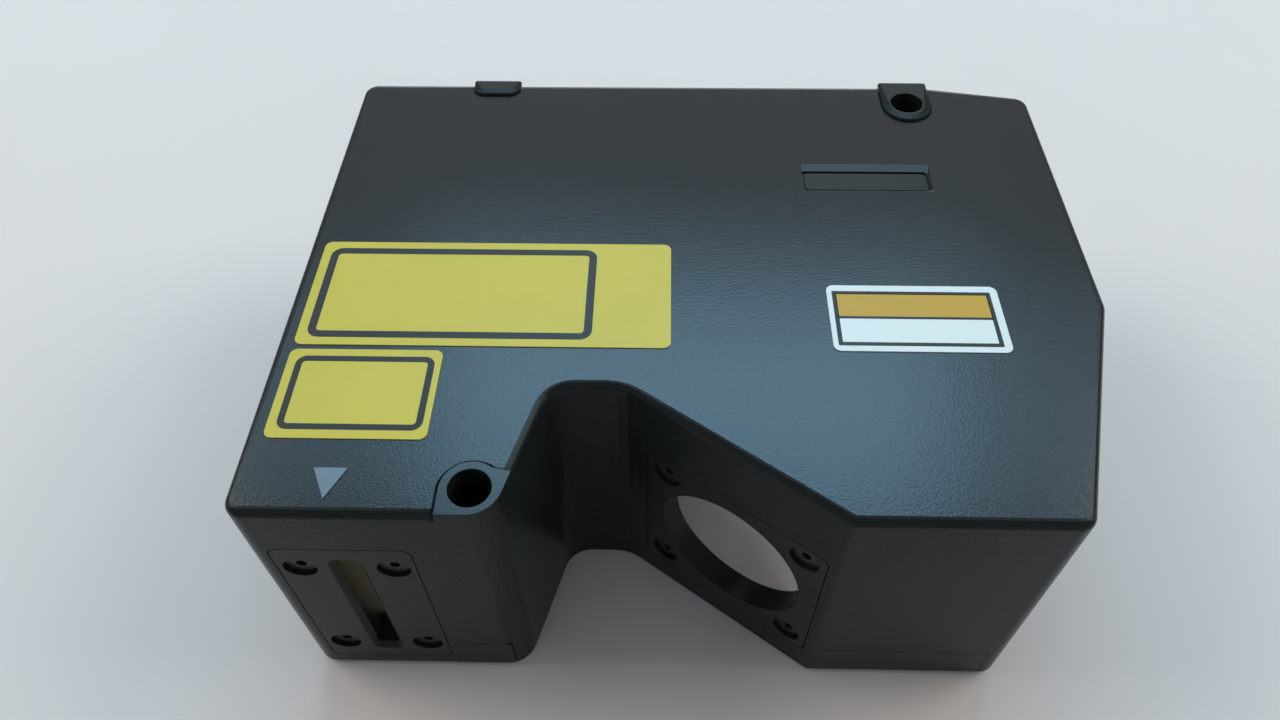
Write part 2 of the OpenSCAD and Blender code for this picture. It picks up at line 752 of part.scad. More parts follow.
// Plate of the body's outline whose upper edge is rounded
module rounded_plate(thick, r) {
    profile = concat(round_edge(r, 5), [[r, r + past], [-past, r + past], [-past, 0]]);
    difference() {
        body_prism(0, 0, thick);
        translate([0, 0, thick - r])
            closed_sweep([for (e = profile) lower(rounded(outline, outline_r, e[0]), e[1])]);
    }
}

module top_cover() {
    color([0.2, 0.23, 0.26]) placed() difference() {
        union() {
            translate([0, 0, housing_top]) rounded_plate(top_t, top_edge_r);
            difference() {
                cavity_prism(fit_gap, housing_top - lip_h, lip_h + top_t / 2);
                cavity_prism(fit_gap + lip_t, housing_top - lip_h - past, lip_h + past);
            }
        }
        translate([0, 0, housing_top - past]) linear_extrude(top_t + 2 * past) front_lug_2d(lug_gap);
        back_lug_cut(back_hole_x, back_lug_y, back_lug_r);
        back_lug_cut(plain_lug_x, plain_lug_y, plain_lug_r);
        name_recess();
    }
}

// Recess of the name plate, steep on its near and left sides
module name_recess() {
    name_tile(body_h - name_deep, name_deep + past, name_plate_w, name_plate_h);
    hull() {
        name_tile(body_h - name_slope_h, name_slope_h + past, name_plate_w, name_plate_h);
        name_tile(body_h, past, name_w, name_h);
    }
}

module name_tile(z, t, w, h) {
    translate([name_x + w / 2, name_y + h / 2, z]) linear_extrude(t) plate_2d(w, h, name_r);
}

module top_seal() {
    color([0.1, 0.1, 0.1]) placed() seal_ring(housing_top - seal_d, seal_d, 0);
}

module bottom_cover() {
    sink = (big_head_d - big_d) / 2;
    color([0.15, 0.16, 0.17]) placed() difference() {
        union() {
            translate([0, 0, base_t]) mirror([0, 0, 1]) rounded_plate(base_t, base_edge_r);
            flaps(0, flap_out, 0, 0);
        }
        for (p = cover_bosses) translate([p[0], p[1], 0]) {
            translate([0, 0, -past]) cylinder(d = big_d + 2 * fit_gap, h = base_t + 2 * past);
            translate([0, 0, -0.01])
                cylinder(d1 = big_head_d + 2 * fit_gap, d2 = big_d + 2 * fit_gap, h = sink + fit_gap);
        }
        translate([front_hole_x, front_hole_y, -past]) cylinder(d = hole_d, h = base_t + 2 * past);
        translate([back_hole_x, back_hole_y, -past]) cylinder(d = hole_d, h = base_t + 2 * past);
    }
}

module bottom_seal() {
    color([0.1, 0.1, 0.1]) placed() seal_ring(base_t, seal_d, 0);
}

// Countersunk screws that hold the bottom cover
module bottom_screws() {
    sink = (big_head_d - big_d) / 2;
    color([0.55, 0.56, 0.58]) placed() for (p = cover_bosses) translate([p[0], p[1], 0.1])
        difference() {
            union() {
                cylinder(d1 = big_head_d, d2 = big_d, h = sink);
                cylinder(d = big_d, h = cover_screw_l - short_end);
            }
            translate([0, 0, -past]) cylinder(d = big_d * socket_part, h = past + flush_socket, $fn = 6);
        }
}

// Bare plate in the top cover's recess
module name_plate() {
    color([0.23, 0.22, 0.21]) placed()
        translate([name_x + name_plate_w / 2, name_y + name_plate_h / 2, body_h - name_deep])
            linear_extrude(name_plate_t)
                plate_2d(name_plate_w - 4 * fit_gap, name_plate_h - 4 * fit_gap, name_r);
}

module label(x, y, w, h, tint) {
    color(tint) placed() translate([x + w / 2, y + h / 2, body_h])
        linear_extrude(label_t) plate_2d(w, h, label_r);
}

module label_wide() {
    label(label_left, wide_y, wide_w, wide_h, [0.82, 0.76, 0.2]);
}

module label_small() {
    label(label_left, small_y, small_w, small_h, [0.82, 0.76, 0.2]);
}

module label_white() {
    label(white_x, white_y, white_w, white_h, [0.9, 0.92, 0.9]);
}

// Pointer on the cover that shows where the light line leaves
module pointer_mark() {
    color([0.6, 0.64, 0.66]) placed() translate([beam_x, pointer_y, body_h]) linear_extrude(label_t)
        polygon([[0, 0], [pointer_w / 2, pointer_l], [-pointer_w / 2, pointer_l]]);
}

// Plate screws at the four corners of a spacing
module plate_screws(sx, sz) {
    color([0.3, 0.31, 0.32]) for (x = [-sx, sx] / 2, z = [-sz, sz] / 2)
        translate([x, sink_h, z]) small_screw();
}

// Low-head screw with a hex socket, its head seat at y = 0
module small_screw() {
    difference() {
        union() {
            translate([0, -small_head_h, 0]) rod(small_head_d, small_head_h);
            rod(small_d, small_l);
        }
        translate([0, -small_head_h - past, 0]) rotate([-90, 0, 0])
            cylinder(d = small_d * socket_part, h = past + small_socket, $fn = 6);
    }
}

module plate_holes(t, sx, sz) {
    for (x = [-sx, sx] / 2, z = [-sz, sz] / 2) translate([x, -past, z]) {
        rod(sink_d, sink_h + past);
        rod(small_d + 2 * thread_gap, t + 2 * past);
    }
}

module emission_plate() {
    color([0.2, 0.2, 0.21]) placed() at_beam() difference() {
        tile(beam_plate_w, beam_plate_h, beam_plate_t, plate_r);
        plate_holes(beam_plate_t, beam_screw_x, beam_screw_z);
        translate([0, -past, 0]) tile(slot_w, slot_l, beam_plate_t + 2 * past, 0.4);
        slot_bevel();
    }
}

// Sloped edge round the light slot
module slot_bevel() {
    rotate([90, 0, 0]) loft([lower(slot_ring(0), -slot_edge_w), lower(slot_ring(-slot_edge_w), 0.01)]);
}

function slot_ring(d) = let (w = slot_w / 2, h = slot_l / 2)
    rounded([[-w, -h], [w, -h], [w, h], [-w, h]], [0.4, 0.4, 0.4, 0.4], d);

module emission_window() {
    color([0.75, 0.72, 0.45]) placed() at_beam(beam_glass_y) tile(beam_glass_w, beam_glass_h, glass_t, 0.9);
}

module emission_seal() {
    color([0.1, 0.1, 0.1]) placed() at_beam(beam_glass_y + glass_t) difference() {
        tile(beam_glass_w, beam_glass_h, glass_seal_t, 0.9);
        translate([0, -past, 0]) tile(beam_glass_w - 2 * glass_seal_w, beam_glass_h - 2 * glass_seal_w,
            glass_seal_t + 2 * past, 0.9);
    }
}

module emission_screws() {
    placed() at_beam() plate_screws(beam_screw_x, beam_screw_z);
}

module receiver_plate() {
    color([0.2, 0.2, 0.21]) placed() at_view() difference() {
        tile(view_plate_w, view_plate_h, view_plate_t, plate_r);
        plate_holes(view_plate_t, view_screw_s, view_screw_s);
        translate([0, -past, 0]) rod(window_d, view_plate_t + 2 * past);
        translate([0, view_lip_t, 0]) rod(view_glass_d + fit_gap, view_plate_t);
    }
}

module receiver_window() {
    color([0.62, 0.58, 0.66]) placed() at_view(view_glass_y) rod(view_glass_d, glass_t);
}

module receiver_seal() {
    color([0.1, 0.1, 0.1]) placed() at_view(view_glass_y + glass_t)
        tube(view_glass_d - 0.2, view_glass_d - 2 * glass_seal_w, glass_seal_t);
}

module receiver_screws() {
    placed() at_view() plate_screws(view_screw_s, view_screw_s);
}

// Frame of the picture sensor, tilted behind the lens barrel
module at_sensor(y = 0) {
    at_view(sensor_y) rotate([0, 0, sensor_tilt]) translate([0, y, 0]) children();
}

// Low-head screw that points up, its head seat at z = 0
module upright_screw(l) {
    difference() {
        union() {
            translate([0, 0, -big_head_h]) cylinder(d = big_head_d, h = big_head_h);
            cylinder(d = big_d, h = l);
        }
        translate([0, 0, -big_head_h - past])
            cylinder(d = big_d * socket_part, h = past + big_socket, $fn = 6);
    }
}

// Clear holes of the bench plate's screws, or their threaded holes in what stands on it
module foot_holes(d, z, h) {
    for (p = holder_screws) translate([p[0], p[1], z]) cylinder(d = d, h = h);
    for (x = [-1, 1] * cradle_screw_x) at_view(cradle_y + cradle_l / 2)
        translate([x, 0, z - axis_z]) cylinder(d = d, h = h);
    for (x = [-1, 1] * bracket_w / 4) at_sensor(bracket_y + bracket_foot / 2)
        translate([x, 0, z - axis_z]) cylinder(d = d, h = h);
}

module optics_plate() {
    color([0.62, 0.63, 0.65]) placed() difference() {
        cavity_prism(2 * fit_gap, bench_z, bench_t);
        posts(cover_bosses, boss_r + 2 * fit_gap, bench_z - past, bench_t + 2 * past);
        posts(bench_bosses, big_d / 2 + fit_gap, bench_z - past, bench_t + 2 * past);
        posts(standoffs, (big_d + thread_gap) / 2, bench_z - past, bench_t + 2 * past);
        foot_holes(big_d + 2 * fit_gap, bench_z - past, bench_t + 2 * past);
    }
}

// Screws through the bench plate, from below
module bench_screws() {
    color([0.55, 0.56, 0.58]) placed() {
        for (p = concat(bench_bosses, holder_screws)) translate([p[0], p[1], bench_z])
            upright_screw(bench_screw_l);
        for (x = [-1, 1] * cradle_screw_x) at_view(cradle_y + cradle_l / 2)
            translate([x, 0, bench_z - axis_z]) upright_screw(bench_screw_l);
        for (x = [-1, 1] * bracket_w / 4) at_sensor(bracket_y + bracket_foot / 2)
            translate([x, 0, bench_z - axis_z]) upright_screw(bracket_foot_t + bench_t - short_end);
    }
}

// Split block that clamps the laser barrel
module laser_holder() {
    foot = bench_top - axis_z;
    color([0.45, 0.46, 0.48]) placed() difference() {
        at_beam(holder_y) difference() {
            translate([-holder_w / 2, 0, foot]) cube([holder_w, holder_l, holder_top - foot]);
            translate([0, -past, 0]) rod(laser_d + thread_gap, holder_l + 2 * past);
            translate([-clamp_slit / 2, -past, 0]) cube([clamp_slit, holder_l + 2 * past, holder_top + past]);
            translate([-holder_w / 2 - past, holder_l / 2, clamp_z]) rotate([0, 90, 0])
                cylinder(d = small_d + thread_gap, h = holder_w + 2 * past);
            translate([holder_w / 2 - sink_h, holder_l / 2, clamp_z]) rotate([0, 90, 0])
                cylinder(d = sink_d, h = sink_h + past);
        }
        for (p = holder_screws) translate([p[0], p[1], bench_top - past])
            cylinder(d = big_d + thread_gap, h = bench_screw_l - bench_t + past + drill_end);
    }
}

// Screw that closes the holder's slit
module laser_clamp_screw() {
    color([0.3, 0.31, 0.32]) placed() at_beam(holder_y + holder_l / 2)
        translate([holder_w / 2 - sink_h, 0, clamp_z]) rotate([0, 0, 90]) difference() {
            union() {
                translate([0, -small_head_h, 0]) rod(small_head_d, small_head_h);
                rod(small_d, holder_w - sink_h - short_end);
            }
            translate([0, -small_head_h - past, 0]) rotate([-90, 0, 0])
                cylinder(d = small_d * socket_part, h = past + small_socket, $fn = 6);
        }
}

// Brass barrel with the diode's seat in its back end
module laser_barrel() {
    color([0.72, 0.6, 0.3]) placed() at_beam(laser_y) difference() {
        rod(laser_d, laser_l);
        translate([0, -past, 0]) rod(laser_bore, laser_l - barrel_back_t + past);
        translate([0, laser_l - can_seat, 0]) rod(can_d + thread_gap, can_seat + past);
        translate([0, laser_l - rim_t, 0]) rod(rim_d + thread_gap, rim_t + past);
    }
}

// Laser diode in its metal can, with three pins
module laser_diode() {
    color([0.75, 0.68, 0.42]) placed() at_beam(laser_y + laser_l - rim_t) {
        rod(rim_d, rim_t);
        translate([0, -can_h, 0]) rod(can_d, can_h + rim_t / 2);
        for (p = diode_pins) translate([p[0], rim_t / 2, p[1]]) rod(diode_pin_d, diode_pin_l);
    }
}

// Flat-faced lens: a rim with a round cap on its inner side
module lens(d, rim, cap_d, cap_h) {
    r = (pow(cap_d / 2, 2) + pow(cap_h, 2)) / (2 * cap_h);
    rod(d, rim);
    intersection() {
        translate([0, rim + cap_h - r, 0]) sphere(r = r);
        translate([0, rim - 0.1, 0]) rod(cap_d, cap_h + 1);
    }
}

module collimator_lens() {
    color([0.75, 0.82, 0.86]) placed() at_beam(laser_y + collimator_y)
        lens(laser_bore - thread_gap, 1.6, 6, 1.2);
}

// Rod-shaped front that spreads the beam into an upright line
module line_lens() {
    color([0.75, 0.82, 0.86]) placed() at_beam(laser_y + line_lens_y) intersection() {
        rod(laser_bore - thread_gap, line_lens_t);
        translate([-laser_d, line_lens_r, 0]) rotate([0, 90, 0]) cylinder(r = line_lens_r, h = 2 * laser_d);
    }
}

module laser_board() {
    color([0.1, 0.36, 0.2]) placed() at_beam(laser_board_y) difference() {
        translate([laser_board_shift, 0, -1])
            tile(laser_board_w, 2 * (axis_z - bench_top - laser_board_low), board_t, board_r);
        for (p = diode_pins) translate([p[0], -past, p[1]]) rod(diode_pin_d + fit_gap, board_t + 2 * past);
    }
}

// Block under the lens barrel, with a round seat
module receiver_cradle() {
    foot = bench_top - axis_z;
    color([0.45, 0.46, 0.48]) placed() difference() {
        at_view(cradle_y) difference() {
            translate([-cradle_w / 2, 0, foot]) cube([cradle_w, cradle_l, cradle_top - foot]);
            translate([0, -past, 0]) rod(barrel_d + thread_gap, cradle_l + 2 * past);
            for (x = [-1, 1] * strap_screw_x) translate([x, cradle_l / 2, cradle_top - small_l])
                cylinder(d = small_d + thread_gap, h = small_l + past);
        }
        foot_holes(big_d + thread_gap, bench_top - past, bench_screw_l - bench_t + past + drill_end);
    }
}

// Thin strap over the lens barrel, with an ear on each side
module receiver_strap() {
    w = cradle_l - 4;
    outer = barrel_d + thread_gap + 2 * strap_t;
    color([0.7, 0.71, 0.73]) placed() at_view(cradle_y + 2) difference() {
        union() {
            intersection() {
                rod(outer, w);
                translate([-outer, -past, cradle_top]) cube([2 * outer, w + 2 * past, outer]);
            }
            translate([-cradle_w / 2, 0, cradle_top]) cube([cradle_w, w, strap_t]);
        }
        translate([0, -past, 0]) rod(barrel_d + thread_gap, w + 2 * past);
        for (x = [-1, 1] * strap_screw_x) translate([x, w / 2, cradle_top - past])
            cylinder(d = small_d + 2 * thread_gap, h = strap_t + 2 * past);
    }
}

module strap_screws() {
    color([0.3, 0.31, 0.32]) placed() at_view(cradle_y + cradle_l / 2)
        for (x = [-1, 1] * strap_screw_x) translate([x, 0, cradle_top + strap_t])
            rotate([-90, 0, 0]) small_screw();
}

// Lens barrel with an inner shoulder behind the lenses
module receiver_barrel() {
    color([0.13, 0.13, 0.14]) placed() at_view(barrel_y) difference() {
        rod(barrel_d, barrel_l);
        translate([0, -past, 0]) rod(barrel_bore, shoulder_y + past);
        translate([0, shoulder_y - past, 0]) rod(cap_clear, barrel_l);
        translate([0, shoulder_y + 2, 0]) rod(barrel_bore, barrel_l);
    }
}

// Slotted ring that holds the filter and the lenses
module lens_ring() {
    color([0.16, 0.16, 0.17]) placed() at_view(barrel_y + ring_y) difference() {
        tube(glass_d, cap_clear, ring_t);
        translate([-glass_d / 2, -past, -0.5]) cube([glass_d, past + 0.8, 1]);
    }
}

module bandpass_filter() {
    color([0.35, 0.25, 0.5]) placed() at_view(barrel_y + ring_y + ring_t) rod(glass_d, filter_t);
}

module front_lens() {
    color([0.75, 0.82, 0.86]) placed() at_view(barrel_y + ring_y + ring_t + filter_t)
        lens(glass_d, lens_rim, cap_clear - 0.4, 1.8);
}

module lens_spacer() {
    color([0.16, 0.16, 0.17]) placed()
        at_view(barrel_y + spacer_y) tube(glass_d, cap_clear, shoulder_y - lens_rim - spacer_y);
}

module rear_lens() {
    color([0.75, 0.82, 0.86]) placed() at_view(barrel_y + shoulder_y) mirror([0, 1, 0])
        lens(glass_d, lens_rim, cap_clear - 0.4, 1.5);
}

// Angle bracket that holds the sensor board at its tilt, cut back where a wall comes near
module sensor_bracket() {
    foot = bench_top - axis_z;
    color([0.45, 0.46, 0.48]) placed() difference() {
        intersection() {
            at_sensor(bracket_y) translate([-bracket_w / 2, 0, foot]) {
                cube([bracket_w, bracket_t, -1 - foot]);
                cube([bracket_w, bracket_foot + bracket_t / 2, bracket_foot_t]);
            }
            linear_extrude(body_h) polygon(bracket_limit);
        }
        foot_holes(big_d + thread_gap, bench_top - past, bracket_foot_t + 2 * past);
        sensor_screw_holes(small_d + thread_gap);
    }
}

module sensor_screw_holes(d) {
    for (x = [-1, 1] * sensor_screw_x) at_sensor() translate([x, 0, sensor_screw_z])
        rod(d, sensor_back + bracket_t + past);
}

// Picture sensor: a dark package with a glass lid
module image_sensor() {
    color([0.12, 0.13, 0.16]) placed() at_sensor() {
        tile(sensor_w, sensor_h, sensor_t, 0.3);
        translate([0, -0.5, 0]) tile(sensor_w - 3, sensor_h - 3, 0.6, 0.3);
    }
}

module sensor_board() {
    color([0.1, 0.36, 0.2]) placed() difference() {
        at_sensor(sensor_t) tile(sensor_board_w, sensor_board_h, board_t, board_r);
        sensor_screw_holes(small_d + 2 * thread_gap);
    }
}

module sensor_screws() {
    color([0.3, 0.31, 0.32]) placed() for (x = [-1, 1] * sensor_screw_x)
        at_sensor(sensor_t) translate([x, 0, sensor_screw_z]) small_screw();
}

module main_board() {
    color([0.1, 0.36, 0.2]) placed() difference() {
        translate([board_x, board_y, board_z]) cube([board_w, board_d, board_t]);
        posts(standoffs, big_d / 2 + fit_gap, board_z - past, board_t + 2 * past);
    }
}

// Chips, coils and capacitors on the main board
module board_parts() {
    top = board_z + board_t;
    memory_x = board_x + board_w - memory_right - memory_w;
    color([0.1, 0.1, 0.11]) placed() {
        translate([board_x + chip_x, board_y + (board_d - chip_w) / 2, top]) cube([chip_w, chip_w, chip_t]);
        for (y = [-1, 1] * memory_step / 2)
            translate([memory_x, board_y + (board_d - memory_h) / 2 + y, top])
                cube([memory_w, memory_h, memory_t]);
        for (k = [0, 1]) translate([board_x + standoff_in, board_y + board_d / 2, top]) {
            translate([k * coil_step, -coil_w, 0]) cube([coil_w, coil_w, coil_h]);
            translate([k * coil_step + coil_w / 2, coil_w, 0]) cylinder(d = can_part_d, h = can_part_h);
        }
        translate([board_x + board_w - socket_d, lead_turn[1] - lead_w / 2, top])
            cube([socket_d, lead_w, socket_h]);
        translate([laser_lead_x - lead_w / 2, board_y, top]) cube([lead_w, socket_d, socket_h]);
        translate([port_x - lead_w / 2, board_y + board_d - socket_d, top])
            cube([lead_w, socket_d, socket_h]);
    }
}

// Hexagonal posts that stand in the bench plate and carry the main board
module board_standoffs() {
    color([0.72, 0.6, 0.3]) placed() for (p = standoffs) translate([p[0], p[1], bench_top])
        difference() {
            union() {
                cylinder(d = standoff_w / cos(30), h = board_lift, $fn = 6);
                translate([0, 0, -bench_t + 0.4]) cylinder(d = big_d, h = bench_t);
            }
            translate([0, 0, board_lift - board_screw_l])
                cylinder(d = big_d + thread_gap, h = board_screw_l + past);
        }
}

module board_screws() {
    color([0.55, 0.56, 0.58]) placed() for (p = standoffs)
        translate([p[0], p[1], board_z + board_t]) rotate([180, 0, 0]) upright_screw(board_screw_l);
}

// Flat lead from the sensor board's back, up and across to the main board
module sensor_flex() {
    start_x = board_x + board_w - socket_d;
    color([0.75, 0.48, 0.15]) placed() {
        at_sensor(sensor_back) translate([-lead_w / 2, 0, 1])
            cube([lead_w, flex_t, lead_z + flex_t - axis_z - 1]);
        at_sensor(sensor_back) translate([-lead_w / 2, 0, lead_z - axis_z]) cube([lead_w, lead_run, flex_t]);
        translate([start_x, lead_turn[1] - lead_w / 2, lead_z])
            cube([lead_turn[0] - start_x, lead_w, flex_t]);
    }
}

// Flat lead that rises at y and runs on along Y over the main board, up to y2
module straight_flex(x, y, low, y2, w) {
    near = min(y, y2);
    translate([x - w / 2, y, low]) cube([w, flex_t, lead_z + flex_t - low]);
    translate([x - w / 2, near, lead_z]) cube([w, abs(y2 - y) + (y2 < y ? flex_t : 0), flex_t]);
}

module laser_flex() {
    color([0.75, 0.48, 0.15]) placed()
        straight_flex(laser_lead_x, laser_board_y + board_t, axis_z, board_y + socket_d, lead_w);
}

module connector_flex() {
    color([0.75, 0.48, 0.15]) placed()
        straight_flex(port_x, pin_y - flex_t, port_z - 4, board_y + board_d - socket_d, lead_w);
}

// Round receptacle in the back wall, with an inner flange
module connector_shell() {
    color([0.68, 0.69, 0.7]) placed() translate([port_x, back_in_y, port_z]) difference() {
        union() {
            translate([0, -port_in, 0]) rod(port_d, port_in + wall + port_out);
            translate([0, -port_flange_t, 0]) rod(port_d + 4, port_flange_t);
        }
        translate([0, -port_in - past, 0]) rod(port_d - 2 * port_wall, port_in + wall + port_out + 2 * past);
    }
}

module connector_nut() {
    color([0.6, 0.61, 0.63]) placed() translate([port_x, body_d, port_z]) rotate([-90, 30, 0])
        difference() {
            cylinder(d = port_nut_w / cos(30), h = port_nut_t, $fn = 6);
            translate([0, 0, -past]) cylinder(d = port_d + thread_gap, h = port_nut_t + 2 * past);
        }
}

// Contact places: a ring of eight round a ring of three
pins = concat([for (i = [0:7]) 3.2 * [cos(45 * i), sin(45 * i)]],
    [for (i = [0:2]) 1.3 * [cos(120 * i), sin(120 * i)]]);

module connector_insert() {
    color([0.1, 0.1, 0.11]) placed() translate([port_x, pin_y + insert_in, port_z]) difference() {
        rod(port_d - 2 * port_wall - thread_gap, insert_l);
        for (p = pins) translate([p[0], -past, p[1]]) rod(pin_d + 0.06, insert_l + 2 * past);
    }
}

module connector_pins() {
    color([0.85, 0.7, 0.3]) placed() for (p = pins) translate([port_x + p[0], pin_y, port_z + p[1]])
        rod(pin_d, pin_l);
}

housing();
top_cover();
top_seal();
bottom_cover();
bottom_seal();
bottom_screws();
name_plate();
label_wide();
label_small();
label_white();
pointer_mark();
emission_plate();
emission_window();
emission_seal();
emission_screws();
receiver_plate();
receiver_window();
receiver_seal();
receiver_screws();
optics_plate();
bench_screws();
laser_holder();
laser_clamp_screw();
laser_barrel();
laser_diode();
collimator_lens();
line_lens();
laser_board();
receiver_cradle();
receiver_strap();
strap_screws();
receiver_barrel();
bandpass_filter();
front_lens();
lens_spacer();
rear_lens();
lens_ring();
sensor_bracket();
image_sensor();
sensor_board();
sensor_screws();
main_board();
board_parts();
board_standoffs();
board_screws();
sensor_flex();
laser_flex();
connector_shell();
connector_nut();
connector_insert();
connector_pins();
connector_flex();
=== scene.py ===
"""Laser profile sensor on a plain pale table: materials, printed fields, light and camera."""
import json
import math

import bmesh
import bpy
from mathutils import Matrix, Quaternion, Vector


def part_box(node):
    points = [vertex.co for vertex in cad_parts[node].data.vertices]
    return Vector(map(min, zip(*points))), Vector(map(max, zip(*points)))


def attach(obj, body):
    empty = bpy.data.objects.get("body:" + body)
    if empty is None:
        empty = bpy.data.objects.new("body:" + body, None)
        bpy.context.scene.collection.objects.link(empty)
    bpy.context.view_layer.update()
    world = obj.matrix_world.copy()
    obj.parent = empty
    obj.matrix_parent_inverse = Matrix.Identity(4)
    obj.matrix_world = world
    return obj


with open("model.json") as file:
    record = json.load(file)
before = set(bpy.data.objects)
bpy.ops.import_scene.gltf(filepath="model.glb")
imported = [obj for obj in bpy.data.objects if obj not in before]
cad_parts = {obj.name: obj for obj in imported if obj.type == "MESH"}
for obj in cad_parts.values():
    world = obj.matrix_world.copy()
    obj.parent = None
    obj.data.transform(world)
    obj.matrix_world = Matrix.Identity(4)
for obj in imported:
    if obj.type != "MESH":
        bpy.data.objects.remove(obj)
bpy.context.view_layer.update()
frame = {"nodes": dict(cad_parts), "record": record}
nodes = frame["nodes"]
MM = 0.001


# Node trees

BLACK = (0, 0, 0)
WHITE = (1, 1, 1)
EVEN = (1, 1, 1)

# The Mix node has sockets for every kind of value: these are the ones in use
NUMBER_LOW, NUMBER_HIGH, NUMBER_OUT = 2, 3, 0
COLOUR_LOW, COLOUR_HIGH, COLOUR_OUT = 6, 7, 2


def new_material(name):
    material = bpy.data.materials.new(name)
    material.use_nodes = True
    tree = material.node_tree
    tree.nodes.clear()
    out = tree.nodes.new("ShaderNodeOutputMaterial")
    shader = tree.nodes.new("ShaderNodeBsdfPrincipled")
    tree.links.new(shader.outputs[0], out.inputs[0])
    return material, tree, shader


def noise(tree, size_mm, detail=3.0, stretch=EVEN):
    """Noise in object space whose grains are about size_mm across."""
    coord = tree.nodes.new("ShaderNodeTexCoord")
    mapping = tree.nodes.new("ShaderNodeMapping")
    mapping.inputs["Scale"].default_value = tuple(s / (size_mm * MM) for s in stretch)
    tree.links.new(coord.outputs["Object"], mapping.inputs["Vector"])
    tex = tree.nodes.new("ShaderNodeTexNoise")
    tex.inputs["Scale"].default_value = 1.0
    tex.inputs["Detail"].default_value = detail
    tree.links.new(mapping.outputs[0], tex.inputs["Vector"])
    return tex.outputs["Fac"]


def ramp(tree, value, stops):
    """Colour that follows a value through stops of (position, colour)."""
    node = tree.nodes.new("ShaderNodeValToRGB")
    tree.links.new(value, node.inputs[0])
    ends = node.color_ramp.elements
    ends[0].position, ends[0].color = stops[0][0], (*stops[0][1], 1)
    ends[1].position, ends[1].color = stops[-1][0], (*stops[-1][1], 1)
    for place, colour in stops[1:-1]:
        ends.new(place).color = (*colour, 1)
    return node.outputs[0]


def scaled(colour, factor):
    return tuple(min(1.0, c * factor) for c in colour)


def shades(colour, vary):
    """Stops of a ramp that goes from a little under a colour to a little over it."""
    return [(0.3, scaled(colour, 1 - vary)), (0.7, scaled(colour, 1 + vary))]


def map_range(tree, value, **limits):
    """Value brought from one range to another, by the node's own names of the limits."""
    node = tree.nodes.new("ShaderNodeMapRange")
    for name, limit in limits.items():
        node.inputs[name.replace("_", " ").title()].default_value = limit
    tree.links.new(value, node.inputs["Value"])
    return node.outputs[0]


def feed(tree, socket, value):
    """Set a socket to a number or colour, or link it."""
    if isinstance(value, float):
        socket.default_value = value
    elif isinstance(value, tuple):
        socket.default_value = (*value, 1)
    else:
        tree.links.new(value, socket)


def mix_colour(tree, factor, low, high):
    node = tree.nodes.new("ShaderNodeMix")
    node.data_type = "RGBA"
    tree.links.new(factor, node.inputs[0])
    feed(tree, node.inputs[COLOUR_LOW], low)
    feed(tree, node.inputs[COLOUR_HIGH], high)
    return node.outputs[COLOUR_OUT]


def mix_number(tree, factor, low, high):
    node = tree.nodes.new("ShaderNodeMix")
    tree.links.new(factor, node.inputs[0])
    feed(tree, node.inputs[NUMBER_LOW], low)
    feed(tree, node.inputs[NUMBER_HIGH], high)
    return node.outputs[NUMBER_OUT]


def multiply(tree, a, b):
    node = tree.nodes.new("ShaderNodeMath")
    node.operation = "MULTIPLY"
    feed(tree, node.inputs[0], a)
    feed(tree, node.inputs[1], b)
    return node.outputs[0]


def bump(tree, shader, height, depth_mm, strength, normal=None):
    """Bump the shader's normal by a height, on top of another normal if there is one."""
    node = tree.nodes.new("ShaderNodeBump")
    node.inputs["Distance"].default_value = depth_mm * MM
    node.inputs["Strength"].default_value = strength
    tree.links.new(height, node.inputs["Height"])
    if normal is not None:
        tree.links.new(normal, node.inputs["Normal"])
    tree.links.new(node.outputs[0], shader.inputs["Normal"])
    return node.outputs[0]


# Masks made from the surface's normal

BEVEL_SAMPLES = 4
FLAT_COSINE = 0.99
EDGE_COSINE = 0.80

# How high the normal points, from 0 on a wall to 1 on level ground
COAT_STARTS, COAT_FULL = 0.9, 0.98
SLOPE_STEEP_END = (0.978, 0.982)
SLOPE_FLAT_END = (0.998, 0.993)


def edge_mask(tree, radius_mm):
    """Mask close to 1 along edges and 0 on flat ground, and the rounded normal behind it."""
    bevel = tree.nodes.new("ShaderNodeBevel")
    bevel.samples = BEVEL_SAMPLES
    bevel.inputs["Radius"].default_value = radius_mm * MM
    geometry = tree.nodes.new("ShaderNodeNewGeometry")
    dot = tree.nodes.new("ShaderNodeVectorMath")
    dot.operation = "DOT_PRODUCT"
    tree.links.new(bevel.outputs[0], dot.inputs[0])
    tree.links.new(geometry.outputs["True Normal"], dot.inputs[1])
    mask = map_range(tree, dot.outputs["Value"], from_min=FLAT_COSINE, from_max=EDGE_COSINE)
    return mask, bevel.outputs[0]


def upward(tree, low, high):
    """Mask that goes from 0 to 1 as the height of the surface's normal goes from low to high."""
    geometry = tree.nodes.new("ShaderNodeNewGeometry")
    axes = tree.nodes.new("ShaderNodeSeparateXYZ")
    tree.links.new(geometry.outputs["True Normal"], axes.inputs[0])
    return map_range(tree, axes.outputs["Z"], from_min=low, from_max=high)


def on_slopes(tree, elsewhere, there):
    """Number that changes on slopes of about 5 to 11 degrees, as the cut recess has."""
    mask = multiply(tree, upward(tree, *SLOPE_STEEP_END), upward(tree, *SLOPE_FLAT_END))
    return mix_number(tree, mask, elsewhere, there)


# Materials

COAT_IOR = 1.5
CLOUD_DETAIL = 4.0
GRAIN_DETAIL = 2.0
SPECK_MM = 0.25
SPECK_BRIGHT = 3.0
WORN_PATCH_MM = 1.3
LOWEST_ROUGH = 0.02


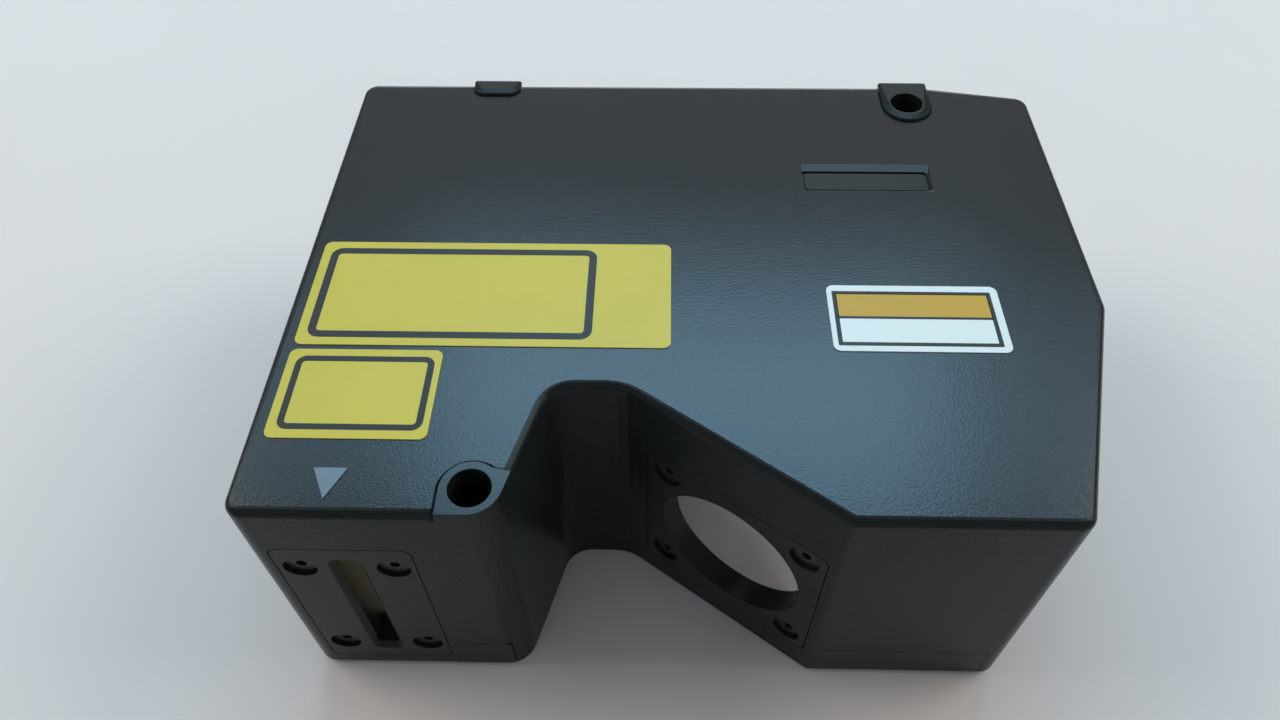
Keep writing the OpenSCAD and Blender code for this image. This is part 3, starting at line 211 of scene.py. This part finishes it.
def add_top_coat(tree, shader, weight, slope_weight, rough, normal):
    """Second coat of lacquer on the faces that look up, thinner on the slopes of the recess."""
    flat = upward(tree, COAT_STARTS, COAT_FULL)
    coat = multiply(tree, flat, on_slopes(tree, weight, slope_weight))
    tree.links.new(coat, shader.inputs["Coat Weight"])
    tree.links.new(normal, shader.inputs["Coat Normal"])
    shader.inputs["Coat Roughness"].default_value = rough
    shader.inputs["Coat IOR"].default_value = COAT_IOR


def surface(name, colour, rough, metal=0.0, specular=0.5, vary=0.12, vary_mm=6.0, grain_mm=0.3,
            grain_depth=0.01, grain_strength=0.4, rough_vary=0.06, stretch=EVEN, coat=0.0,
            coat_rough=0.2, wear=None, edge=0.1, speck=0.0, top_coat=0.0, slope_coat=0.0,
            slope_rough=None):
    """Finish with cloudy colour and grain, and rubbed edges where wear names a colour.

    vary and rough_vary say how far colour and roughness stray, in clouds of vary_mm. The grain has
    a size and a depth in mm. coat covers the whole surface and top_coat the faces that look up;
    slope_coat and slope_rough are for the slopes of the recess. edge is the width of the wear.
    """
    material, tree, shader = new_material(name)
    clouds = noise(tree, vary_mm, CLOUD_DETAIL)
    tint = ramp(tree, clouds, shades(colour, vary))
    if speck:
        flecks = ramp(tree, noise(tree, SPECK_MM, 1.0), [(0.35, BLACK), (0.75, WHITE)])
        tint = mix_colour(tree, multiply(tree, flecks, speck), tint, scaled(colour, SPECK_BRIGHT))
    roughness = map_range(tree, clouds, to_min=max(LOWEST_ROUGH, rough - rough_vary),
                          to_max=min(1.0, rough + rough_vary))
    if slope_rough:
        roughness = on_slopes(tree, roughness, slope_rough)
    tree.links.new(roughness, shader.inputs["Roughness"])
    shader.inputs["Metallic"].default_value = metal
    shader.inputs["Specular IOR Level"].default_value = specular
    if coat:
        shader.inputs["Coat Weight"].default_value = coat
        shader.inputs["Coat Roughness"].default_value = coat_rough
    rounded = None
    if wear:
        mask, rounded = edge_mask(tree, edge)
        patches = ramp(tree, noise(tree, WORN_PATCH_MM), [(0.38, BLACK), (0.7, WHITE)])
        tint = mix_colour(tree, multiply(tree, mask, patches), tint, wear)
    tree.links.new(tint, shader.inputs["Base Color"])
    grain = noise(tree, grain_mm, GRAIN_DETAIL, stretch)
    normal = bump(tree, shader, grain, grain_depth, grain_strength, rounded)
    if top_coat:
        add_top_coat(tree, shader, top_coat, slope_coat, coat_rough, normal)
    return material


def coated_glass(name, colour, rough):
    """Filter glass whose coating mirrors most of the light."""
    material, tree, shader = new_material(name)
    clouds = noise(tree, 9.0, 1.0)
    tint = ramp(tree, clouds, [(0.35, scaled(colour, 0.96)), (0.65, scaled(colour, 1.04))])
    tree.links.new(tint, shader.inputs["Base Color"])
    shader.inputs["Roughness"].default_value = rough
    shader.inputs["Metallic"].default_value = 1.0
    smears = noise(tree, 3.0, stretch=(1, 1, 0.4))
    bump(tree, shader, smears, 0.002, 0.08)
    return material


def clear_glass(name, colour):
    material, tree, shader = new_material(name)
    clouds = noise(tree, 8.0, 1.0)
    tint = ramp(tree, clouds, [(0.35, scaled(colour, 0.97)), (0.65, scaled(colour, 1.03))])
    tree.links.new(tint, shader.inputs["Base Color"])
    shader.inputs["Roughness"].default_value = 0.02
    shader.inputs["Transmission Weight"].default_value = 1.0
    shader.inputs["IOR"].default_value = 1.5
    return material


PAINT = (0.012, 0.015, 0.015)
HOUSING_PAINT = (0.013, 0.017, 0.016)
RUBBED = (0.022, 0.026, 0.027)
ALONG_X = (0.1, 1, 1)
ALONG_Y = (1, 0.1, 1)

LACQUER = dict(rough_vary=0.02, grain_strength=1.0, vary=0.05, vary_mm=20, wear=RUBBED, edge=0.12,
               speck=0.12)
CAST_LACQUER = dict(LACQUER, specular=0.12, grain_mm=0.24, grain_depth=0.012)
LABEL = dict(vary_mm=12, grain_mm=0.5, grain_depth=0.002, grain_strength=0.3)

MATERIALS = {
    "housing": surface("housing_paint", HOUSING_PAINT, 0.22, top_coat=0.72, **CAST_LACQUER),
    "cover_paint": surface("cover_paint", PAINT, 0.18, specular=0.15, grain_mm=0.27,
                           grain_depth=0.019, top_coat=0.72, coat_rough=0.18, slope_coat=0.3,
                           slope_rough=0.42, **LACQUER),
    "base_paint": surface("base_paint", HOUSING_PAINT, 0.22, **CAST_LACQUER),
    "bare_plate": surface("bare_plate", (0.012, 0.012, 0.011), 0.4, specular=0.3, vary=0.05,
                          grain_mm=0.12, grain_depth=0.004, wear=RUBBED, edge=0.06),
    "yellow_label": surface("yellow_label", (0.65, 0.57, 0.075), 0.36, specular=0.35, vary=0.03,
                            **LABEL),
    "white_label": surface("white_label", (0.80, 0.91, 0.90), 0.36, specular=0.4, vary=0.02,
                           **LABEL),
    "pointer_print": surface("pointer_print", (0.16, 0.235, 0.29), 0.35, vary=0.05,
                             grain_mm=0.28, grain_depth=0.012, grain_strength=0.5),
    "window_plate": surface("window_plate", (0.015, 0.018, 0.017), 0.3, specular=0.15,
                            grain_mm=0.2, grain_depth=0.006, wear=RUBBED),
    "seal_rubber": surface("seal_rubber", (0.015, 0.015, 0.015), 0.8, grain_mm=0.2),
    "screw_steel": surface("screw_steel", (0.45, 0.45, 0.46), 0.35, metal=1.0, grain_mm=0.15,
                           grain_depth=0.003, wear=(0.6, 0.6, 0.61), edge=0.06),
    "dark_screw": surface("dark_screw", (0.022, 0.022, 0.023), 0.4, metal=0.2, grain_mm=0.15,
                          grain_depth=0.003, wear=(0.08, 0.08, 0.085), edge=0.06),
    "bench_aluminium": surface("bench_aluminium", (0.6, 0.61, 0.63), 0.4, metal=1.0,
                               grain_mm=0.2, grain_depth=0.004, stretch=ALONG_X),
    "strap_steel": surface("strap_steel", (0.6, 0.6, 0.62), 0.3, metal=1.0, grain_mm=0.2,
                           grain_depth=0.002, stretch=ALONG_Y),
    "barrel_brass": surface("barrel_brass", (0.62, 0.46, 0.2), 0.3, metal=1.0, grain_mm=0.15,
                            grain_depth=0.002, stretch=ALONG_Y),
    "barrel_black": surface("barrel_black", (0.02, 0.02, 0.021), 0.55, grain_mm=0.15,
                            grain_depth=0.004),
    "board_green": surface("board_green", (0.02, 0.14, 0.05), 0.4, vary=0.2, vary_mm=1.5,
                           grain_mm=0.4, coat=0.4),
    "chip_black": surface("chip_black", (0.015, 0.015, 0.016), 0.6, grain_mm=0.1,
                          grain_depth=0.004),
    "flex_amber": surface("flex_amber", (0.42, 0.2, 0.03), 0.35, grain_mm=0.4,
                          grain_depth=0.004),
    "gold_contact": surface("gold_contact", (0.8, 0.6, 0.25), 0.25, metal=1.0, grain_mm=0.1,
                            grain_depth=0.001),
    "connector_metal": surface("connector_metal", (0.55, 0.55, 0.56), 0.3, metal=1.0,
                               grain_mm=0.12, grain_depth=0.002, stretch=ALONG_Y,
                               wear=(0.7, 0.7, 0.7), edge=0.08),
    "lens_glass": clear_glass("lens_glass", (0.9, 0.95, 0.97)),
    "window_glass": coated_glass("window_glass", (0.96, 0.90, 0.93), 0.05),
}
EMISSION_GLASS = coated_glass("emission_glass", (0.66, 0.64, 0.40), 0.1)
INK = surface("label_ink", (0.020, 0.022, 0.020), 0.4, specular=0.4, vary=0.05, grain_depth=0.002)
AMBER = surface("label_amber", (0.60, 0.38, 0.04), 0.36, specular=0.35, vary=0.03, **LABEL)

slot_of = {s["node"]: s["material_slot"] for s in frame["record"]["subparts"]}
for name, obj in nodes.items():
    obj.data.materials.clear()
    obj.data.materials.append(MATERIALS[slot_of[name]])
nodes["emission_window"].data.materials[0] = EMISSION_GLASS


# Printed fields on the labels

INK_T = 0.02 * MM
CORNER_STEPS = 8
SHARPEST_R = 0.1


def rounded_points(x0, y0, x1, y1, r_mm):
    """Outline of a rectangle with rounded corners."""
    r = r_mm * MM
    corners = ((x1 - r, y0 + r, -90), (x1 - r, y1 - r, 0), (x0 + r, y1 - r, 90),
               (x0 + r, y0 + r, 180))
    points = []
    for cx, cy, turn in corners:
        for k in range(CORNER_STEPS + 1):
            a = math.radians(turn + 90 * k / CORNER_STEPS)
            points.append((cx + r * math.cos(a), cy + r * math.sin(a)))
    return points


def add_object(name, data):
    obj = bpy.data.objects.new(name, data)
    bpy.context.scene.collection.objects.link(obj)
    return obj


def finish_print(name, bm, material):
    """Turn a printed mesh into a piece that rides on the body."""
    mesh = bpy.data.meshes.new(name)
    bmesh.ops.recalc_face_normals(bm, faces=bm.faces[:])
    bm.to_mesh(mesh)
    bm.free()
    mesh.materials.append(material)
    obj = add_object(name, mesh)
    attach(obj, "root")


def print_ring(name, outer, inner, label_top, material):
    """Printed frame between two outlines that have as many points."""
    bm = bmesh.new()
    low_out, low_in, top_out, top_in = [
        [bm.verts.new((x, y, z)) for x, y in outline]
        for z in (label_top - INK_T / 2, label_top + INK_T) for outline in (outer, inner)]
    for i in range(len(outer)):
        j = (i + 1) % len(outer)
        bm.faces.new((top_out[i], top_out[j], top_in[j], top_in[i]))
        bm.faces.new((low_out[j], low_out[i], low_in[i], low_in[j]))
        bm.faces.new((low_out[i], low_out[j], top_out[j], top_out[i]))
        bm.faces.new((low_in[j], low_in[i], top_in[i], top_in[j]))
    finish_print(name, bm, material)


def print_field(name, outline, label_top, material):
    """Printed field inside one outline."""
    bm = bmesh.new()
    low, top = [[bm.verts.new((x, y, z)) for x, y in outline]
                for z in (label_top - INK_T / 2, label_top + INK_T)]
    bm.faces.new(top)
    bm.faces.new(low[::-1])
    for i in range(len(outline)):
        j = (i + 1) % len(outline)
        bm.faces.new((low[i], low[j], top[j], top[i]))
    finish_print(name, bm, material)


def frame_print(name, node, left, right, near, far, stroke, r):
    """Inked frame that stands in from a label's edges, all in mm, with r as its outer corner."""
    lo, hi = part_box(node)
    x0, x1 = lo.x + left * MM, hi.x - right * MM
    y0, y1 = lo.y + near * MM, hi.y - far * MM
    s = stroke * MM
    outer = rounded_points(x0, y0, x1, y1, r)
    inner = rounded_points(x0 + s, y0 + s, x1 - s, y1 - s, max(SHARPEST_R, r - stroke))
    print_ring(name, outer, inner, hi.z, INK)


frame_print("wide_frame", "label_wide", left=1.1, right=9.0, near=1.1, far=1.1, stroke=0.95, r=1.4)
frame_print("small_frame", "label_small", left=1.0, right=0.7, near=1.1, far=1.0, stroke=0.75,
            r=1.2)
frame_print("white_frame", "label_white", left=0.6, right=0.9, near=0.8, far=0.95, stroke=0.5,
            r=0.15)

# The white label's coloured band and the line under it, measured from the label's edges in mm
BAND_LEFT, BAND_RIGHT = 1.0, 1.3
LINE_NEAR, BAND_NEAR, BAND_FAR = 4.85, 5.2, 1.35
BAND_R, LINE_R = 0.2, 0.05

label_low, label_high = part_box("label_white")
band_x = (label_low.x + BAND_LEFT * MM, label_high.x - BAND_RIGHT * MM)
line_y = label_low.y + LINE_NEAR * MM
band_y = label_low.y + BAND_NEAR * MM
band_top = label_high.y - BAND_FAR * MM
print_field("white_band", rounded_points(band_x[0], band_y, band_x[1], band_top, BAND_R),
            label_high.z, AMBER)
print_field("white_divider", rounded_points(band_x[0], line_y, band_x[1], band_y, LINE_R),
            label_high.z, INK)


# Table

FLOOR_R = 2.4
INNER_RINGS = (0.25, 0.7)
WALL_R = 0.7
WALL_H = 1.3
CURVE_STEPS = 12
ROUND_STEPS = 72
PAPER_STOPS = [(0.3, (0.835, 0.785, 0.755)), (0.7, (0.86, 0.81, 0.78))]


def add_table():
    """Round table top whose rim rises in a curve to a pale wall far behind."""
    profile = [(r, 0.0) for r in (*INNER_RINGS, FLOOR_R - WALL_R)]
    for k in range(1, CURVE_STEPS + 1):
        a = math.radians(90 / CURVE_STEPS * k)
        profile.append((FLOOR_R - WALL_R + WALL_R * math.sin(a), WALL_R * (1 - math.cos(a))))
    profile.append((FLOOR_R, WALL_H))
    bm = bmesh.new()
    middle = bm.verts.new((0, 0, 0))
    angles = [2 * math.pi * k / ROUND_STEPS for k in range(ROUND_STEPS)]
    rings = [[bm.verts.new((r * math.cos(a), r * math.sin(a), z)) for a in angles]
             for r, z in profile]
    for k in range(ROUND_STEPS):
        n = (k + 1) % ROUND_STEPS
        bm.faces.new((middle, rings[0][k], rings[0][n]))
        for low, high in zip(rings, rings[1:]):
            bm.faces.new((low[k], high[k], high[n], low[n]))
    mesh = bpy.data.meshes.new("table")
    bm.to_mesh(mesh)
    bm.free()
    for face in mesh.polygons:
        face.use_smooth = True
    obj = add_object("table", mesh)
    material, tree, shader = new_material("table_paper")
    tint = ramp(tree, noise(tree, 60.0), PAPER_STOPS)
    tree.links.new(tint, shader.inputs["Base Color"])
    shader.inputs["Roughness"].default_value = 0.85
    shader.inputs["Specular IOR Level"].default_value = 0.2
    bump(tree, shader, noise(tree, 0.8), 0.02, 0.3)
    mesh.materials.append(material)


add_table()


# Light

LAMP_TARGET = Vector((0, 0, 0.03))
SKY_BLUE = (0.36, 0.72, 1.0)


def panel(name, turn, rise, distance, size, power, colour):
    """Soft light seen from the part at the given turn from +Y and height angle, in degrees."""
    a, e = math.radians(turn), math.radians(rise)
    toward = Vector((math.sin(a) * math.cos(e), math.cos(a) * math.cos(e), math.sin(e)))
    data = bpy.data.lights.new(name, "AREA")
    data.shape = "RECTANGLE"
    data.size, data.size_y = size
    data.energy = power
    data.color = colour
    obj = add_object(name, data)
    obj.location = LAMP_TARGET + distance * toward
    obj.rotation_mode = "QUATERNION"
    obj.rotation_quaternion = (LAMP_TARGET - obj.location).to_track_quat("-Z", "Y")


panel("sky_wide", 2, 56, 0.9, size=(1.15, 0.24), power=1.4, colour=SKY_BLUE)
panel("sky_window", 3, 56, 0.9, size=(0.56, 0.3), power=1.75, colour=SKY_BLUE)
panel("back_window", 0, 15, 1.5, size=(1.1, 0.3), power=5.0, colour=(1.0, 0.98, 0.95))
panel("left_softbox", -75, 40, 1.1, size=(0.7, 0.6), power=4.0, colour=(1.0, 0.975, 0.95))
panel("right_softbox", 75, 40, 1.1, size=(0.7, 0.6), power=4.0, colour=(1.0, 0.955, 0.90))

# The room's colour from the front, at 0, to the back, at 1, and its strength from level to overhead
ROOM_BY_DEPTH = [(0.0, (0.40, 0.50, 0.58)), (0.3, (0.24, 0.29, 0.32)), (0.5, (0.17, 0.18, 0.19)),
                 (0.72, (0.32, 0.32, 0.32)), (0.82, (0.40, 0.40, 0.40)), (1.0, (0.40, 0.40, 0.40))]
ROOM_BY_HEIGHT = [(0.0, WHITE), (0.76, WHITE), (0.88, (0.3, 0.3, 0.3)), (1.0, (0.5, 0.5, 0.5))]

world = bpy.data.worlds.new("studio")
bpy.context.scene.world = world
world.use_nodes = True
sky = world.node_tree
direction = sky.nodes.new("ShaderNodeTexCoord")
axes = sky.nodes.new("ShaderNodeSeparateXYZ")
sky.links.new(direction.outputs["Generated"], axes.inputs[0])
depth = map_range(sky, axes.outputs["Y"], from_min=-1.0)
both = sky.nodes.new("ShaderNodeVectorMath")
both.operation = "MULTIPLY"
sky.links.new(ramp(sky, depth, ROOM_BY_DEPTH), both.inputs[0])
sky.links.new(ramp(sky, axes.outputs["Z"], ROOM_BY_HEIGHT), both.inputs[1])
background = sky.nodes["Background"]
sky.links.new(both.outputs[0], background.inputs["Color"])
background.inputs["Strength"].default_value = 1.0


# Camera, fitted to the photo's edges

CAMERA_PLACE = (-0.0039048, -0.0844994, 0.1198484)
CAMERA_TURN = (0.94234005, 0.33443059, 0.00820397, 0.00917121)
LENS = 26.494
SENSOR_WIDTH = 36.0

camera_data = bpy.data.cameras.new("camera")
camera_data.sensor_width = SENSOR_WIDTH
camera_data.lens = LENS
camera_data.clip_start = 0.005
camera = add_object("camera", camera_data)
camera.location = CAMERA_PLACE
camera.rotation_mode = "QUATERNION"
camera.rotation_quaternion = Quaternion(CAMERA_TURN)
bpy.context.scene.camera = camera
bpy.context.scene.view_settings.view_transform = "Standard"
